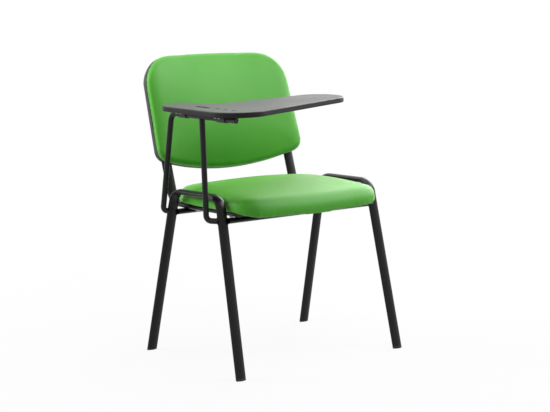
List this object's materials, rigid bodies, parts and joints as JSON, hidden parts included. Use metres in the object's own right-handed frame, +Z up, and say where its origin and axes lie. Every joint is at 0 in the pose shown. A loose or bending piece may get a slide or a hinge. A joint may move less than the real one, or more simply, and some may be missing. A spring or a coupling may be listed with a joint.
{
  "type": "stacking conference chair with a folding writing tablet",
  "caption": "Stacking conference chair with a bent oval tube frame, padded green seat and backrest, dark back shell and a writing tablet that folds up on the sitter's right.",
  "frame": {"origin": "on the floor under the centre of the bounding box, footprint centred", "axes": "+Z up, the chair faces -Y, +X is the sitter's left and the tablet is on the -X side"},
  "size_m": [0.6203, 0.5754, 0.8043],
  "materials": {
    "frame": "black powder coat with a soft sheen",
    "upholstery": "smooth green imitation leather",
    "shell": "moulded dark grey, fine grain",
    "plug": "moulded black",
    "clip": "moulded black",
    "tablet": "dark grey moulded top with a fine grain",
    "plywood": "raw plywood",
    "fastener": "zinc plated",
    "buffer": "matte"
  },
  "bodies": {
    "chair": {"right_leg_frame": "frame", "left_leg_frame": "frame", "front_cross_tube": "frame", "rear_cross_tube": "frame", "right_upright": "frame", "left_upright": "frame", "tablet_support": "frame", "tablet_front_post": "frame", "tablet_stop": "frame", "seat_cushion": "upholstery", "backrest_cushion": "upholstery", "backrest_shell": "shell", "seat_cover": "shell", "front_right_foot": "plug", "rear_right_foot": "plug", "front_left_foot": "plug", "rear_left_foot": "plug", "rail_plugs": "plug", "bar_plug": "plug", "seat_board": "plywood", "backrest_board": "plywood", "seat_bolts": "fastener", "seat_tee_nuts": "fastener", "backrest_bolts": "fastener", "backrest_tee_nuts": "fastener", "shell_screws": "fastener", "stop_buffer": "buffer"},
    "tablet": {"tablet_top": "tablet", "rear_hinge_clip": "clip", "front_hinge_clip": "clip", "clip_screws": "fastener"}
  },
  "joints": [
    {"name": "tablet_fold", "type": "hinge", "parent": "chair", "child": "tablet", "pos_m": [-0.266, -0.044, 0.6675], "axis": [0, -1, 0], "range_deg": [0, 89]}
  ]
}
